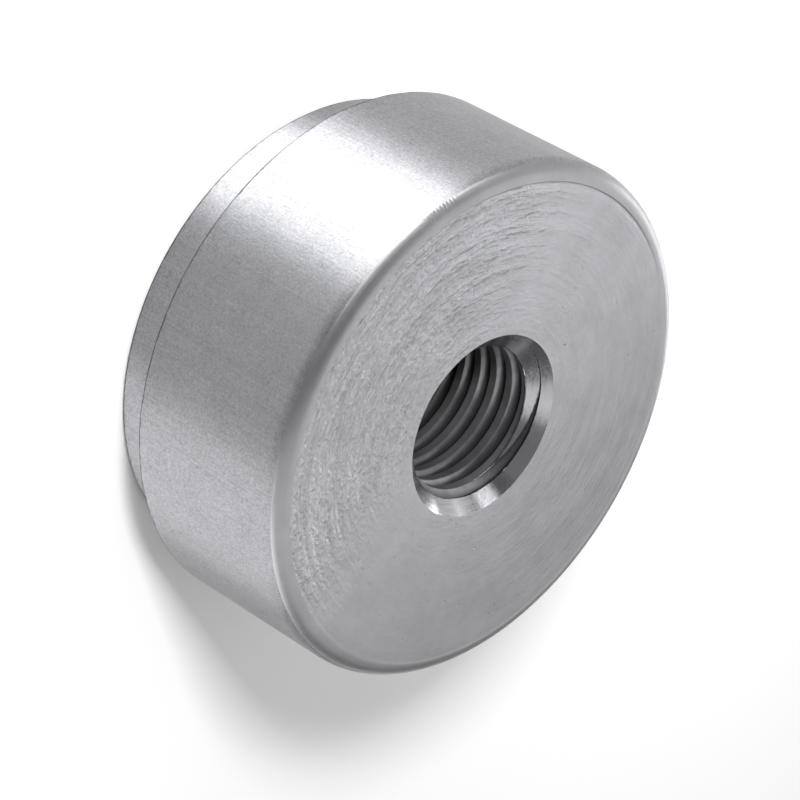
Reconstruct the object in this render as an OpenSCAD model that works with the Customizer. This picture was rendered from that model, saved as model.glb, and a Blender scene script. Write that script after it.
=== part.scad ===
// Weld bung: a round steel plug turned from bar that is welded to the end of a tube to give it a tapped hole.
// Millimetres. The plug stands on its spigot end with the tapped mouth up, its axis on Z.

/* [Tube] */
// Outside diameter of the tube, and of the body that sits flush with it
tube_d = 50; // [30:0.1:100]
// Wall thickness of the tube
tube_wall = 2.5; // [1:0.1:6]
// Radial gap between the spigot and the inside of the tube
slip = 0.1; // [0.05:0.05:0.5]

/* [Lengths] */
// Length of the body, from the shoulder to the front face
body_length = 18; // [8:0.1:50]
// Length of the spigot that enters the tube
spigot_length = 5.2; // [2:0.1:25]

/* [Thread] */
// Nominal diameter of the thread
thread_d = 16; // [6:1:20]
// Pitch of the thread
thread_pitch = 2; // [0.5:0.25:2.5]
// How far each countersink opens past the thread, along the radius
mouth_margin = 0.8; // [0.1:0.1:2.5]
// Included angle of the countersinks
mouth_angle = 90; // [60:1:120]

/* [Edges] */
// Radius of the rounded front rim
rim_radius = 1.75; // [0.3:0.05:4]
// Flat width of the chamfer that breaks the shoulder and spigot edges
edge_break = 0.4; // [0.1:0.05:0.8]

/* [Hidden] */
body_r = tube_d / 2;
spigot_r = body_r - tube_wall - slip;
total_length = spigot_length + body_length;
// The hole is drilled to the tapping size, so its wall is the crest of the thread
hole_r = (thread_d - thread_pitch) / 2;
mouth_r = thread_d / 2 + mouth_margin;
mouth_depth = (mouth_r - hole_r) / tan(mouth_angle / 2);
// Smooth arcs
$fn = 96;

// Half of the lengthwise section, right of the axis, with the rim's corner cut square to take the round
module straight_section() {
    polygon([
        [hole_r, mouth_depth],
        [mouth_r, 0],
        [spigot_r - edge_break, 0],
        [spigot_r, edge_break],
        [spigot_r, spigot_length],
        [body_r - edge_break, spigot_length],
        [body_r, spigot_length + edge_break],
        [body_r, total_length - rim_radius],
        [body_r - rim_radius, total_length - rim_radius],
        [body_r - rim_radius, total_length],
        [mouth_r, total_length],
        [hole_r, total_length - mouth_depth]
    ]);
}

// The turned plug: body, spigot, rounded rim and the tapping hole with its two countersinks
module weld_bung() {
    color([0.67, 0.67, 0.69])
    rotate_extrude() {
        straight_section();
        translate([body_r - rim_radius, total_length - rim_radius])
            circle(r = rim_radius);
    }
}

weld_bung();
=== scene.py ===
import math

import bmesh
import bpy
import numpy as np
from mathutils import Matrix, Quaternion, Vector


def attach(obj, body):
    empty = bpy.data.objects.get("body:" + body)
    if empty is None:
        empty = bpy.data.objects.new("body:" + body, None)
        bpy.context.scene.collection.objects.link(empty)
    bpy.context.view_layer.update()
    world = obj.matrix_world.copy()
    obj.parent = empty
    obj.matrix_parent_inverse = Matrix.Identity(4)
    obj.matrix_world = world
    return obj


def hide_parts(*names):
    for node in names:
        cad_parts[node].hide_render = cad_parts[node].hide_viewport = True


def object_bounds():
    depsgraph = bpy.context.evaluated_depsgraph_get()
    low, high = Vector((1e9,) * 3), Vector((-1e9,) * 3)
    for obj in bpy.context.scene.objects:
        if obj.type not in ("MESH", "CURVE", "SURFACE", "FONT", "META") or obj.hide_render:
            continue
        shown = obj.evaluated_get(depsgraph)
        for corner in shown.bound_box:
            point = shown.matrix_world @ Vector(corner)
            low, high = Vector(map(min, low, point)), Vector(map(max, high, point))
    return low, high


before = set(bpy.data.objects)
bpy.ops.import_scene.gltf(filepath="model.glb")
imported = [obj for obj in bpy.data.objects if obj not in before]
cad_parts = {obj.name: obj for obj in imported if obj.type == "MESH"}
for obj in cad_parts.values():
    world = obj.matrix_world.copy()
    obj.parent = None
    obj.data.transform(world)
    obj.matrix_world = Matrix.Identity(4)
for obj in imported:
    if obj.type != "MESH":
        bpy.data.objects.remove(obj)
cad_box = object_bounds()
scene = bpy.context.scene
scene.view_settings.view_transform = "Standard"

# The bung: one piece of bare mild steel, cut from 50 mm bright bar on a lathe.
# The tool faces the front, rounds its rim and turns the spigot that slips inside a tube,
# then the hole is drilled, countersunk at both ends and tapped M16 x 2, right-hand.

MM = 0.001
FULL_TURN = 2 * math.pi
# Sizes are in millimetres, and angles in degrees about the axis, from +X towards +Y
BODY_R = round(cad_box[1][0] / MM, 3)
FRONT_Z = round(cad_box[1][2] / MM, 3)
SPIGOT_R = 22.4
SHOULDER_Z = 5.2
EDGE_BREAK = 0.4
MOUTH_R = 8.8
RIM_R = 1.75
LAND_R = BODY_R - RIM_R
# Points along the rim's round, and how many of them keep the finish of the bar's outside
RIM_POINTS = 17
RIM_BRIGHT = 6
# Witness groove beside the rim, where the facing cut ran out: its outer wall is the steeper one, and the
# least depth is the share that goes all round
WITNESS_ANGLE = 185.0
WITNESS_DEPTH = 0.09
WITNESS_LEAST = 0.08
WITNESS_WIDTH = 0.3
WITNESS_WALL = 0.3 * WITNESS_WIDTH
# How far the shoulder's edge wanders, and its waves: strength, number in a turn, start
EDGE_WANDER = 0.05
EDGE_WAVES = ((0.5, 9, 0.4), (0.3, 23, 1.9), (0.35, 47, 0.7))
# Slack when points of the section are picked out by their place
NEAR = 0.01
FACED, TURNED, RIM, TAPPED, COUNTERSUNK = range(5)


def spread(start, end, count):
    """Points of a straight stretch of the section, evenly spaced, without its last point."""
    steps = np.linspace(0.0, 1.0, count, endpoint=False)[:, None]
    return np.asarray(start) + steps * (np.asarray(end) - np.asarray(start))


def outside_section():
    """Radius and height along the section, from the back mouth round the outside to the front mouth.

    Straight stretches join at chamfers. The rim is a quarter circle of radius RIM_R, with the shallow
    witness groove beside it. Each stretch carries the number of its finish.
    """
    bend = np.linspace(0.0, math.pi / 2, RIM_POINTS)
    rim = np.stack([LAND_R + RIM_R * np.cos(bend), FRONT_Z - RIM_R + RIM_R * np.sin(bend)], axis=1)
    groove = (LAND_R - WITNESS_WALL, FRONT_Z - WITNESS_DEPTH)
    face = (LAND_R - WITNESS_WIDTH, FRONT_Z)
    stretches = [
        (spread((MOUTH_R, 0), (SPIGOT_R - EDGE_BREAK, 0), 8), FACED),
        (spread((SPIGOT_R - EDGE_BREAK, 0), (SPIGOT_R, EDGE_BREAK), 3), TURNED),
        (spread((SPIGOT_R, EDGE_BREAK), (SPIGOT_R, SHOULDER_Z), 6), TURNED),
        (spread((SPIGOT_R, SHOULDER_Z), (BODY_R - EDGE_BREAK, SHOULDER_Z), 4), FACED),
        (spread((BODY_R - EDGE_BREAK, SHOULDER_Z), (BODY_R, SHOULDER_Z + EDGE_BREAK), 1), TURNED),
        (spread((BODY_R, SHOULDER_Z + EDGE_BREAK), (BODY_R, FRONT_Z - RIM_R), 16), TURNED),
        (rim[:RIM_BRIGHT], TURNED),
        (rim[RIM_BRIGHT:-1], RIM),
        (spread((LAND_R, FRONT_Z), groove, 1), RIM),
        (spread(groove, face, 1), FACED),
        (spread(face, (MOUTH_R, FRONT_Z), 16), FACED),
    ]
    points = np.concatenate([s for s, _ in stretches] + [np.array([[MOUTH_R, FRONT_Z]])])
    finish = np.concatenate([np.full(len(s), k) for s, k in stretches])
    return points, finish


def uneven_height(r, z, angle):
    """Heights of the turned section as the tool left it.

    The witness groove is deepest at WITNESS_ANGLE and fades round the face with the fourth power of the
    cosine of the angle. The shoulder's edge wanders by EDGE_WANDER times the sum of its sine waves.
    """
    fade = np.clip(np.cos(angle - math.radians(WITNESS_ANGLE)), 0.0, 1.0) ** 4
    fade = WITNESS_LEAST + (1.0 - WITNESS_LEAST) * fade
    low = (z < FRONT_Z) & (z > FRONT_Z - WITNESS_DEPTH - NEAR) & (r < LAND_R)
    z = np.where(low, FRONT_Z - (FRONT_Z - z) * fade, z)
    wander = sum(strength * np.sin(number * angle + start) for strength, number, start in EDGE_WAVES)
    edge = (r > BODY_R - NEAR) & (z < SHOULDER_Z + EDGE_BREAK + NEAR)
    return np.where(edge, z + EDGE_WANDER * wander, z)


# Thread: the crest is the drilled wall, and the tap's point scores a fine V along the rounded root
PITCH = 2.0
CREST_R = 7.0
ROOT_R = 7.9
ROOT_ROUND = 0.06
SCORE_R = 8.13
SCORE_HALF = 0.05
# Fall of the radius for each millimetre of height on a flank that leans at 30 degrees
FLANK_SLOPE = math.sqrt(3.0)
# At this angle the middle of the groove lies this far below the front face
GROOVE_ANGLE = 144.0
GROOVE_DEPTH = 0.8


def thread_radius(offset):
    """Radius of the tapped wall at a height measured from the middle of the nearest groove.

    A 60 degree thread: flanks that lean at 30 degrees, a rounded root at ROOT_R, and the drilled wall at
    CREST_R between grooves. The score is a V that goes from ROOT_R, SCORE_HALF away, to SCORE_R.
    """
    away = np.abs((offset + PITCH / 2) % PITCH - PITCH / 2)
    groove = ROOT_R - (np.hypot(away, ROOT_ROUND) - ROOT_ROUND) * FLANK_SLOPE
    score = SCORE_R - (SCORE_R - ROOT_R) * away / SCORE_HALF
    return np.maximum(np.maximum(groove, score), CREST_R)


# Rows of the wall on each flank, and close to both sides of the crest's corner, away from the root
FLANK_ROWS = (0.12, 0.3)
CORNER = 0.04
# Finer rows in each of the top turns
FINE_TURNS = 3
FINE_ROWS = 32
# Reach of the painted shade line into the groove, and how much shorter it is on the cone
BREAK_SHADE_REACH = 0.3
CONE_BREAK_SHADE = 6.0
# Wall that the thread cuts no deeper than this below a cone still counts as countersunk
SUNK_MARGIN = 0.02


def bore_wall(angle):
    """Radii and heights of the hole's wall, where it is countersunk, and a mask for painted shade where the
    thread breaks out.

    Rows climb with the thread: a row stands at its phase plus one pitch a turn, held between the two end
    faces. The radius is the largest of the thread and the two countersink cones, which open at 45 degrees
    to the mouths. The mask for painted shade is 1 along the line where the thread breaks out of a cone, and
    falls to 0 over the reach set above, more steeply on the cone. The top turns have finer rows, which fan
    out from the coarse ones over one turn so that the seam closes.
    """
    crest = (ROOT_R - CREST_R) / FLANK_SLOPE + ROOT_ROUND
    flank = np.array([0.0, SCORE_HALF / 2, SCORE_HALF, *FLANK_ROWS, crest - CORNER, crest + CORNER])
    phases = np.concatenate([flank, [PITCH / 2], PITCH - flank[:0:-1]])
    turns = math.ceil(FRONT_Z / PITCH)
    joint = (turns + 1 - FINE_TURNS) * PITCH
    coarse = (np.arange(-2, turns + 2)[:, None] * PITCH + phases).ravel()
    fine = joint + np.arange(FINE_TURNS * FINE_ROWS) * PITCH / FINE_ROWS
    rows = np.unique(np.concatenate([coarse, fine]).round(6))
    nearest = coarse[np.abs(rows[:, None] - coarse).argmin(axis=1)]
    fan = np.where((rows >= joint) & (rows < joint + PITCH), rows - nearest, 0.0)
    rows = rows[:, None] - fan[:, None] * (1.0 - angle / FULL_TURN)
    climb = PITCH * (angle - math.radians(GROOVE_ANGLE)) / FULL_TURN
    middle = FRONT_Z - GROOVE_DEPTH
    start = middle - math.ceil(middle / PITCH) * PITCH
    z = np.clip(start + rows + climb, 0.0, FRONT_Z)
    thread = thread_radius(z - middle - climb)
    cone = np.maximum(MOUTH_R - (FRONT_Z - z), MOUTH_R - z)
    past = np.where(thread > cone, thread - cone, CONE_BREAK_SHADE * (cone - thread))
    break_shade = np.clip(1.0 - past / BREAK_SHADE_REACH, 0.0, 1.0)
    return np.maximum(thread, cone), z, cone > thread - SUNK_MARGIN, break_shade


# Columns round the axis, and the millimetres of section that one unit of the turning map's U stands for
COLUMNS = 216
MAP_LENGTH = 50.0


def turned_grid(r, z, angle, length):
    """A surface turned about Z: x = r cos a, y = r sin a, with r and z as rows by columns.

    Gives its points in metres, its quads, and the turning map: U the length along the section, V the turn.
    """
    points = np.stack([r * np.cos(angle), r * np.sin(angle), z], axis=-1) * MM
    rows, columns = r.shape
    index = np.arange(rows * columns).reshape(rows, columns)
    quads = np.stack([index[:-1, :-1], index[:-1, 1:], index[1:, 1:], index[1:, :-1]], axis=-1)
    uv = np.stack(np.broadcast_arrays(length / MAP_LENGTH, angle / FULL_TURN), axis=-1)
    return points.reshape(-1, 3), quads.reshape(-1, 4), uv.reshape(-1, 2)


angle = np.linspace(0.0, FULL_TURN, COLUMNS + 1)[None, :]
section, finish = outside_section()
length = np.concatenate([[0.0], np.cumsum(np.hypot(*np.diff(section, axis=0).T))])
outer_r = np.repeat(section[:, :1], COLUMNS + 1, axis=1)
outer_z = uneven_height(outer_r, np.repeat(section[:, 1:], COLUMNS + 1, axis=1), angle)
outer_points, outer_quads, outer_uv = turned_grid(outer_r, outer_z, angle, length[:, None])
wall_r, wall_z, sunk, break_shade = bore_wall(angle)
wall_points, wall_quads, wall_uv = turned_grid(wall_r, wall_z, angle, wall_z)
points = np.concatenate([outer_points, wall_points])
quads = np.concatenate([outer_quads, wall_quads[:, ::-1] + len(outer_points)])
uv = np.concatenate([outer_uv, wall_uv])
wall_finish = np.where(sunk.ravel()[wall_quads].all(axis=1), COUNTERSUNK, TAPPED)
face_finish = np.concatenate([np.repeat(finish, COLUMNS), wall_finish])

# Points closer than WELD metres merge, which closes the seam and the mouths; edges under SLIVER go
WELD = 2e-7
SLIVER = 1e-7
SHARP_ANGLE = 28.0
mesh = bpy.data.meshes.new("weld_bung_turned")
mesh.from_pydata(points.tolist(), [], quads.tolist())
layer = mesh.uv_layers.new(name="turning")
layer.data.foreach_set("uv", uv[quads.ravel()].ravel())
mesh.polygons.foreach_set("material_index", face_finish.astype(np.int32))
# Painted shade: a mask on the points, 1 along the line where the thread breaks out of a countersink cone,
# that darkens the colour there
break_shades = mesh.attributes.new("break_shade", "FLOAT", "POINT")
break_shades.data.foreach_set("value", np.concatenate([np.zeros(len(outer_points)), break_shade.ravel()]))
work = bmesh.new()
work.from_mesh(mesh)
bmesh.ops.remove_doubles(work, verts=work.verts, dist=WELD)
bmesh.ops.dissolve_degenerate(work, edges=work.edges, dist=SLIVER)
work.to_mesh(mesh)
work.free()
mesh.polygons.foreach_set("use_smooth", np.ones(len(mesh.polygons), dtype=bool))
mesh.set_sharp_from_angle(angle=math.radians(SHARP_ANGLE))
bung = bpy.data.objects.new("weld_bung_turned", mesh)
scene.collection.objects.link(bung)


def node(tree, kind, inputs=None, **settings):
    """Adds a node; inputs maps a socket's name or number to a value, or to the output that feeds it."""
    made = tree.nodes.new(kind)
    for name, value in settings.items():
        setattr(made, name, value)
    for name, value in (inputs or {}).items():
        if isinstance(value, bpy.types.NodeSocket):
            tree.links.new(value, made.inputs[name])
        else:
            made.inputs[name].default_value = value
    return made


def maths(tree, operation, *values):
    """Output of a Math node working on one or two values or outputs."""
    return node(tree, "ShaderNodeMath", dict(enumerate(values)), operation=operation).outputs[0]


def plus(tree, total, *values):
    """Sum of values or outputs."""
    for value in values:
        total = maths(tree, "ADD", total, value)
    return total


def times(tree, product, *values):
    """Product of values or outputs."""
    for value in values:
        product = maths(tree, "MULTIPLY", product, value)
    return product


def weighted(tree, *pairs):
    """Sum of outputs, each times its own weight."""
    return plus(tree, *(times(tree, value, weight) for value, weight in pairs))


def away(tree, value, middle):
    """How far a value is from a middle, on either side."""
    return maths(tree, "ABSOLUTE", maths(tree, "SUBTRACT", value, middle))


def ramp(tree, value, span, to=(0.0, 1.0), smooth=False):
    """A value carried from one span to another in proportion, held at the ends."""
    kind = "SMOOTHSTEP" if smooth else "LINEAR"
    inputs = {"Value": value, "From Min": span[0], "From Max": span[1], "To Min": to[0], "To Max": to[1]}
    return node(tree, "ShaderNodeMapRange", inputs, interpolation_type=kind).outputs["Result"]


def turning_map(tree):
    """Outputs of the turning map: X the length along the section over MAP_LENGTH, Y the share of a turn."""
    place = node(tree, "ShaderNodeUVMap", uv_map="turning").outputs[0]
    return node(tree, "ShaderNodeSeparateXYZ", {0: place}).outputs


def effect(name, inputs, outputs):
    """An empty shader node group with named numbers in and named values out."""
    group = bpy.data.node_groups.new(name, "ShaderNodeTree")
    for label, value in inputs.items():
        socket = group.interface.new_socket(label, in_out="INPUT", socket_type="NodeSocketFloat")
        socket.default_value = value
    for label in outputs:
        group.interface.new_socket(label, in_out="OUTPUT", socket_type="NodeSocketFloat")
    return group, group.nodes.new("NodeGroupInput").outputs, group.nodes.new("NodeGroupOutput").inputs


def tool_marks():
    """Marks the tool leaves as the work turns: noise on (cos a, sin a, length / feed).

    Arc sets how many marks follow each other in a radian, Feed the millimetres between marks.
    """
    group, given, made = effect("tool_marks", {"Feed": 0.5, "Arc": 6.0}, ["Height"])
    across = turning_map(group)
    turn = times(group, across["Y"], FULL_TURN)
    x = times(group, maths(group, "COSINE", turn), given["Arc"])
    y = times(group, maths(group, "SINE", turn), given["Arc"])
    z = maths(group, "DIVIDE", times(group, across["X"], MAP_LENGTH), given["Feed"])
    place = node(group, "ShaderNodeCombineXYZ", {"X": x, "Y": y, "Z": z}).outputs[0]
    noise = node(group, "ShaderNodeTexNoise", {"Vector": place, "Scale": 1.0, "Detail": 2.0})
    group.links.new(noise.outputs["Fac"], made["Height"])
    return group


def steel_grain():
    """Fine grain of the bare steel, from noise on Object coordinates.

    Grain is a height with cells of Size millimetres, Blotch drifts over a few millimetres, and Pits marks
    the few small spots where a cell rises above Rarity.
    """
    group, given, made = effect("steel_grain", {"Size": 0.25, "Rarity": 0.72}, ["Grain", "Blotch", "Pits"])
    place = node(group, "ShaderNodeTexCoord").outputs["Object"]
    scale = maths(group, "DIVIDE", 1 / MM, given["Size"])
    grain = node(group, "ShaderNodeTexNoise", {"Vector": place, "Scale": scale, "Detail": 2.0})
    drift = {"Vector": place, "Scale": 0.28 / MM, "Detail": 5.0, "Roughness": 0.62}
    blotch = node(group, "ShaderNodeTexNoise", drift)
    spots = node(group, "ShaderNodeTexNoise", {"Vector": place, "Scale": 1.7 / MM, "Detail": 1.0})
    past = maths(group, "SUBTRACT", spots.outputs["Fac"], given["Rarity"])
    group.links.new(grain.outputs["Fac"], made["Grain"])
    group.links.new(blotch.outputs["Fac"], made["Blotch"])
    group.links.new(ramp(group, past, (0.0, 0.06)), made["Pits"])
    return group


def patch_round():
    """Mask of one place round the axis: 1 within Inner degrees of Angle, falling to 0 at Outer degrees."""
    group, given, made = effect("patch_round", {"Angle": 0.0, "Inner": 2.0, "Outer": 6.0}, ["Mask"])
    off = away(group, times(group, turning_map(group)["Y"], 360.0), given["Angle"])
    group.links.new(ramp(group, off, (given["Inner"], given["Outer"]), to=(1.0, 0.0)), made["Mask"])
    return group


def break_shade_line():
    """Share of the steel's grey left by painted shade along the line where the thread breaks out: 1 away
    from it, down to a fifth on it.
    """
    group, _, made = effect("break_shade_line", {}, ["Shade"])
    break_shade = node(group, "ShaderNodeAttribute", attribute_name="break_shade").outputs["Fac"]
    group.links.new(ramp(group, break_shade, (0.0, 1.0), to=(1.0, 0.2)), made["Shade"])
    return group


MARKS = tool_marks()
GRAIN = steel_grain()
PATCH = patch_round()
BREAK_SHADE_LINE = break_shade_line()
STEEL = (0.44, 0.441, 0.460)
# Most of a noise's values lie in this span
NOISE = (0.3, 0.7)


def bare_steel(name, anisotropy, metallic=1.0):
    """Bare steel with its gloss stretched along the section, across the marks that run round the axis."""
    material = bpy.data.materials.new(name)
    material.use_nodes = True
    tree = material.node_tree
    shader = tree.nodes["Principled BSDF"]
    shader.inputs["Metallic"].default_value = metallic
    shader.inputs["Anisotropic"].default_value = anisotropy
    tangent = node(tree, "ShaderNodeTangent", direction_type="UV_MAP", uv_map="turning")
    tree.links.new(tangent.outputs["Tangent"], shader.inputs["Tangent"])
    mesh.materials.append(material)
    return tree, shader


def placed(tree, group, **values):
    """Outputs of an effect placed in a material with its own values."""
    return node(tree, "ShaderNodeGroup", values, node_tree=group).outputs


def relief(tree, shader, height, depth):
    """Bump from a height of 0 to 1 that stands for depth millimetres."""
    bump = node(tree, "ShaderNodeBump", {"Height": height, "Strength": 1.0, "Distance": depth * MM})
    tree.links.new(bump.outputs["Normal"], shader.inputs["Normal"])


def shade(tree, shader, amount, dark, light):
    """Base colour between two strengths of the steel's grey, by an amount of 0 to 1."""
    dark_grey, light_grey = [(*(v * strength for v in STEEL), 1) for strength in (dark, light)]
    mix = node(tree, "ShaderNodeMix", {0: amount, 6: dark_grey, 7: light_grey}, data_type="RGBA")
    tree.links.new(mix.outputs[2], shader.inputs["Base Color"])


def dull(tree, shader, amount):
    """Roughness that changes over the surface."""
    tree.links.new(amount, shader.inputs["Roughness"])


# Faced ends: concentric marks of the facing tool, torn into short arcs, with a few pits. The tearing is full
# on the half towards -Y and faint on the other, and the colour is painted lighter towards -Y as painted
# light.
tree, shader = bare_steel("steel_faced", anisotropy=0.3)
torn = placed(tree, MARKS, Feed=0.33, Arc=19.0)["Height"]
rings = placed(tree, MARKS, Feed=0.85, Arc=2.0)["Height"]
grain = placed(tree, GRAIN, Size=0.35, Rarity=0.74)
place = node(tree, "ShaderNodeTexCoord").outputs["Object"]
across = node(tree, "ShaderNodeSeparateXYZ", {0: place}).outputs
side = times(tree, across["Y"], -1.0)
fine_half = ramp(tree, across["X"], (0.0, 15.0 * MM), to=(0.25, 0.035))
rough_half = ramp(tree, side, (3.0 * MM, 14.5 * MM), to=(fine_half, 1.0), smooth=True)
# The marks less their mean, so that the faint half lies level with the torn one
height = plus(tree, weighted(tree, (rings, 1.5), (torn, 0.9), (grain["Grain"], 0.4)), -1.4)
height = times(tree, height, rough_half)
relief(tree, shader, weighted(tree, (height, 1.0), (grain["Pits"], -0.15)), depth=0.28)
# Painted light: the colour grows lighter towards -Y, a gradient of light painted across the face
lean = weighted(tree, (side, 1.0), (across["X"], -0.25))
painted_light = ramp(tree, lean, (-20.0 * MM, 20.0 * MM), to=(0.0, 0.68))
tone = plus(tree, weighted(tree, (grain["Blotch"], 0.6), (height, 0.8)), painted_light)
shade(tree, shader, ramp(tree, tone, (0.1, 1.1)), dark=0.74, light=1.36)
dull(tree, shader, ramp(tree, torn, NOISE, to=(0.46, 0.54)))

# Outside of the bar and spigot: bright, with a fine grain, faint lines along the axis and a few dark specks.
# The two outer chamfers carry painted shade, thin dark lines with ragged edges, found by their length along
# the section.
CHAMFER = EDGE_BREAK * math.sqrt(2.0)
SPIGOT_EDGE = SPIGOT_R - EDGE_BREAK - MOUTH_R
SHOULDER_EDGE = SPIGOT_EDGE + CHAMFER + SHOULDER_Z - EDGE_BREAK + BODY_R - EDGE_BREAK - SPIGOT_R
SHADE_LINE_HALF = 0.7 * EDGE_BREAK
SHADE_LINE_FADE = 0.1
SHADE_LINE_RAGGED = 0.05
tree, shader = bare_steel("steel_turned", anisotropy=0.96)
grain = placed(tree, GRAIN, Size=0.2, Rarity=0.7)
coarse = placed(tree, GRAIN, Size=0.55, Rarity=0.7)["Grain"]
lines = placed(tree, MARKS, Feed=30.0, Arc=190.0)["Height"]
ragged = placed(tree, MARKS, Feed=5.0, Arc=40.0)["Height"]
relief(tree, shader, weighted(tree, (grain["Grain"], 1.0), (lines, 0.25)), depth=0.014)
along = times(tree, turning_map(tree)["X"], MAP_LENGTH)
along = plus(tree, along, ramp(tree, ragged, NOISE, to=(-SHADE_LINE_RAGGED, SHADE_LINE_RAGGED)))
tone = weighted(tree, (grain["Blotch"], 0.25), (coarse, 0.3), (lines, 0.35), (grain["Grain"], 0.95))
tone = ramp(tree, tone, (0.55, 1.3), to=(0.32, 1.0))
tone = times(tree, tone, ramp(tree, grain["Pits"], (0.0, 1.0), to=(1.0, 0.8)))
# Painted shade: a thin dark line in the colour on each outer chamfer
for start in (SPIGOT_EDGE, SHOULDER_EDGE):
    off = away(tree, along, start + SHADE_LINE_HALF + SHADE_LINE_FADE / 2)
    tone = times(tree, tone, ramp(tree, off, (SHADE_LINE_HALF, SHADE_LINE_HALF + SHADE_LINE_FADE)))
shade(tree, shader, tone, dark=0.3, light=1.42)
dull(tree, shader, ramp(tree, grain["Grain"], NOISE, to=(0.47, 0.53)))

# Rounded rim: smooth from the form tool, with a short run of chatter beside the bar.
RIM_EDGE = SHOULDER_EDGE + CHAMFER + FRONT_Z - RIM_R - SHOULDER_Z - EDGE_BREAK
CHATTER_ANGLE = 236.0
CHATTER_WAVES = 400
CHATTER_HEIGHT = 3.5
CHATTER_END = (RIM_EDGE + 1.4, RIM_EDGE + 2.0)
tree, shader = bare_steel("steel_rim", anisotropy=0.3)
marks = placed(tree, MARKS, Feed=0.16, Arc=2.0)["Height"]
grain = placed(tree, GRAIN, Size=0.25, Rarity=0.74)
across = turning_map(tree)
wave = maths(tree, "SINE", times(tree, across["Y"], CHATTER_WAVES * FULL_TURN))
patch = placed(tree, PATCH, Angle=CHATTER_ANGLE, Inner=2.16, Outer=6.12)["Mask"]
beside = ramp(tree, times(tree, across["X"], MAP_LENGTH), CHATTER_END, to=(1.0, 0.0))
chatter = times(tree, wave, patch, beside, CHATTER_HEIGHT)
relief(tree, shader, plus(tree, grain["Grain"], marks, chatter), depth=0.008)
shade(tree, shader, ramp(tree, grain["Blotch"], NOISE), dark=0.9, light=1.03)
dull(tree, shader, ramp(tree, grain["Grain"], NOISE, to=(0.41, 0.47)))

# Tapped wall: cut by the tap, with painted shade that darkens its colour towards the roots of the grooves.
tree, shader = bare_steel("steel_tapped", anisotropy=0.0, metallic=0.85)
marks = placed(tree, MARKS, Feed=0.3, Arc=8.0)["Height"]
grain = placed(tree, GRAIN, Size=0.3, Rarity=0.74)
relief(tree, shader, marks, depth=0.03)
place = node(tree, "ShaderNodeTexCoord").outputs["Object"]
flat = node(tree, "ShaderNodeVectorMath", {0: place, 1: (1, 1, 0)}, operation="MULTIPLY").outputs[0]
radius = node(tree, "ShaderNodeVectorMath", {0: flat}, operation="LENGTH").outputs["Value"]
# Painted shade: the colour darkens from the crest towards the roots of the grooves, and along the thread's
# break-out line
groove_shade = ramp(tree, radius, (CREST_R * MM, ROOT_R * MM), to=(1.0, 0.15))
blotch = ramp(tree, grain["Blotch"], NOISE, to=(0.6, 1.0))
shade(tree, shader, times(tree, blotch, placed(tree, BREAK_SHADE_LINE)["Shade"], groove_shade), dark=0.0, light=0.95)
dull(tree, shader, ramp(tree, grain["Grain"], NOISE, to=(0.3, 0.38)))

# Countersinks: burnished by the countersink bit, so they mirror the lights sharply, but for one torn patch,
# whose lighter colour is partly a painted highlight.
TORN_ANGLE = 49.0
tree, shader = bare_steel("steel_countersunk", anisotropy=0.2)
marks = placed(tree, MARKS, Feed=0.25, Arc=2.0)["Height"]
grain = placed(tree, GRAIN, Size=0.3, Rarity=0.74)
patch = placed(tree, PATCH, Angle=TORN_ANGLE, Inner=3.6, Outer=10.8)["Mask"]
torn = times(tree, placed(tree, MARKS, Feed=0.5, Arc=60.0)["Height"], patch)
relief(tree, shader, weighted(tree, (marks, 1.0), (torn, 11.0)), depth=0.008)
# The torn patch's colour is lifted, partly as fresh torn steel and partly as a painted highlight
tone = plus(tree, ramp(tree, grain["Blotch"], NOISE, to=(0.64, 0.76)), times(tree, patch, 0.25))
# Painted shade darkens the colour along the line where the thread breaks out of the cone
shade(tree, shader, times(tree, tone, placed(tree, BREAK_SHADE_LINE)["Shade"]), dark=0.0, light=1.75)
dull(tree, shader, plus(tree, ramp(tree, grain["Grain"], NOISE, to=(0.18, 0.26)), times(tree, patch, 0.3)))

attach(bung, "root")
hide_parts("weld_bung")

# Floor: a plain sheet of white paper that lies flat under the part.
# It glows a little for the camera and in the steel, so that it reads as white, and keeps the part's shadow.

FLOOR_HALF = 2.0
PAPER = 0.76
PAPER_GLOW = 0.04
corners = [(x * FLOOR_HALF, y * FLOOR_HALF, 0.0) for x, y in ((-1, -1), (1, -1), (1, 1), (-1, 1))]
floor_mesh = bpy.data.meshes.new("floor")
floor_mesh.from_pydata(corners, [], [(0, 1, 2, 3)])
floor = bpy.data.objects.new("floor", floor_mesh)
scene.collection.objects.link(floor)
paper = bpy.data.materials.new("floor_paper")
paper.use_nodes = True
tree = paper.node_tree
shader = tree.nodes["Principled BSDF"]
shader.inputs["Base Color"].default_value = (PAPER, PAPER, PAPER, 1)
shader.inputs["Roughness"].default_value = 1.0
shader.inputs["Specular IOR Level"].default_value = 0.0
shader.inputs["Emission Color"].default_value = (1, 1, 1, 1)
path = node(tree, "ShaderNodeLightPath").outputs
seen = maths(tree, "MAXIMUM", path["Is Camera Ray"], path["Is Glossy Ray"])
seen = maths(tree, "MAXIMUM", seen, path["Is Transmission Ray"])
tree.links.new(times(tree, seen, PAPER_GLOW), shader.inputs["Emission Strength"])
floor_mesh.materials.append(paper)

# Light: softboxes and panels on stands all round the part, as in a small product studio, each aimed at it.
# The low key box gives the white band on the side, and the weaker ones the greys of the other surfaces.
# A small lamp for the paper, kept out of the steel's gloss, throws the soft shadow under the part.

WORLD_GLOW = 0.1
STAND_OFF = 0.5
AIM = Vector((0, 0, 0.012))
world = bpy.data.worlds.new("studio")
world.use_nodes = True
scene.world = world
world.node_tree.nodes["Background"].inputs["Color"].default_value = (1, 1, 1, 1)
world.node_tree.nodes["Background"].inputs["Strength"].default_value = WORLD_GLOW


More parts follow.
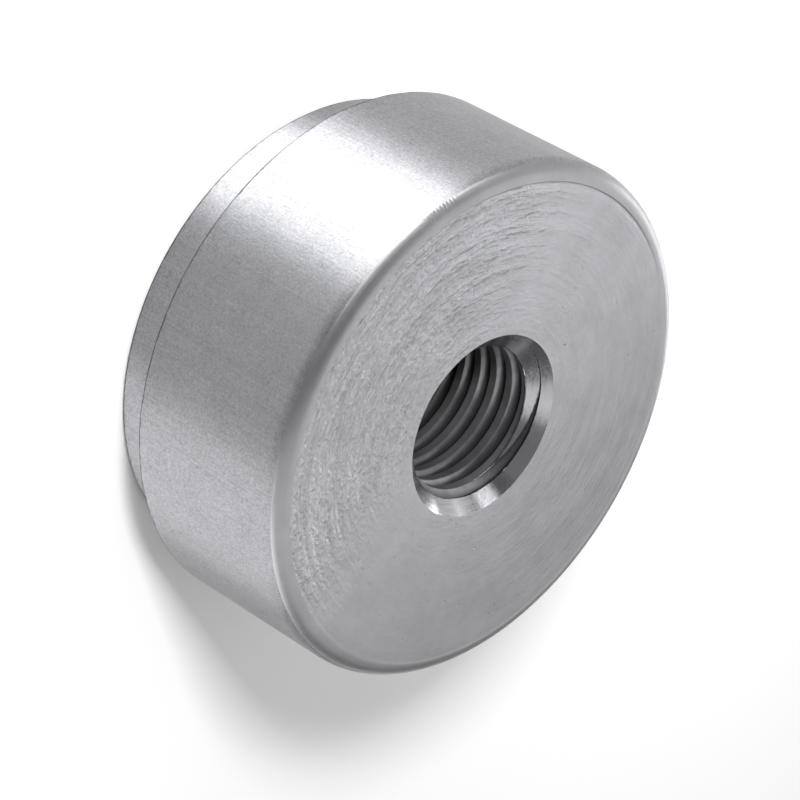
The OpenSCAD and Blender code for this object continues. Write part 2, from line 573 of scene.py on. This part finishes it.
def softbox(name, at, size, radiance, distance=STAND_OFF, roll=0.0):
    """A rectangular area lamp aimed at the part, from an azimuth and elevation in degrees.

    Radiance is what its face shows, in units where 1 is white; its power is pi times radiance times area.
    """
    lamp = bpy.data.lights.new(name, "AREA")
    lamp.shape = "RECTANGLE"
    lamp.size, lamp.size_y = size
    lamp.energy = radiance * math.pi * size[0] * size[1]
    obj = bpy.data.objects.new(name, lamp)
    a, e = map(math.radians, at)
    way = Vector((math.cos(a) * math.cos(e), math.sin(a) * math.cos(e), math.sin(e)))
    obj.location = AIM + distance * way
    aim = (AIM - obj.location).to_track_quat("-Z", "Y")
    obj.rotation_euler = (aim @ Quaternion((0, 0, 1), math.radians(roll))).to_euler()
    scene.collection.objects.link(obj)
    return obj


softbox("key_box", at=(222, 8), size=(0.44, 0.11), radiance=23.0)
softbox("left_box", at=(114, 6), size=(0.27, 0.11), radiance=5.2)
softbox("right_box", at=(350, 11), size=(0.52, 0.17), radiance=3.4)
softbox("side_panel", at=(158, 20), size=(0.52, 0.09), radiance=1.0, roll=30)
softbox("back_panel", at=(118, 52), size=(0.18, 0.13), radiance=1.0, distance=0.14)
softbox("front_panel", at=(270, 56), size=(0.50, 0.26), radiance=0.12)
softbox("high_panel", at=(30, 74), size=(0.12, 0.10), radiance=0.45, distance=0.25)
softbox("sky_panel", at=(22, 51), size=(0.80, 0.30), radiance=0.82, roll=-10)
paper_lamp = softbox("paper_lamp", at=(249, 37), size=(0.09, 0.09), radiance=120.0)
paper_lamp.visible_glossy = False

# Camera: a long lens looking down at 37 degrees, rolled so that the axis leans right and down in the frame.
# Its place is given from the middle of the front face, in body radii to the right, up and forward.

TILT = math.radians(52.65)
ROLL = math.radians(29.81)
FACE_RIGHT, FACE_UP, FACE_FORWARD = 0.2974, -0.0941, 13.5754
FOCAL_PIXELS = 3834.8
IMAGE_PIXELS = 800.0
SENSOR = 36.0
forward = Vector((0, math.sin(TILT), -math.cos(TILT)))
right = Vector((-math.sin(ROLL), math.cos(TILT) * math.cos(ROLL), math.sin(TILT) * math.cos(ROLL)))
up = right.cross(forward)
offset = FACE_RIGHT * right + FACE_UP * up + FACE_FORWARD * forward
place = Vector((0, 0, FRONT_Z)) - BODY_R * offset
lens = bpy.data.cameras.new("camera")
lens.sensor_width = SENSOR
lens.lens = FOCAL_PIXELS * SENSOR / IMAGE_PIXELS
lens.clip_start = 0.01
camera = bpy.data.objects.new("camera", lens)
turn = Matrix((right, up, -forward)).transposed()
camera.matrix_world = Matrix.Translation(place * MM) @ turn.to_4x4()
scene.collection.objects.link(camera)
scene.camera = camera
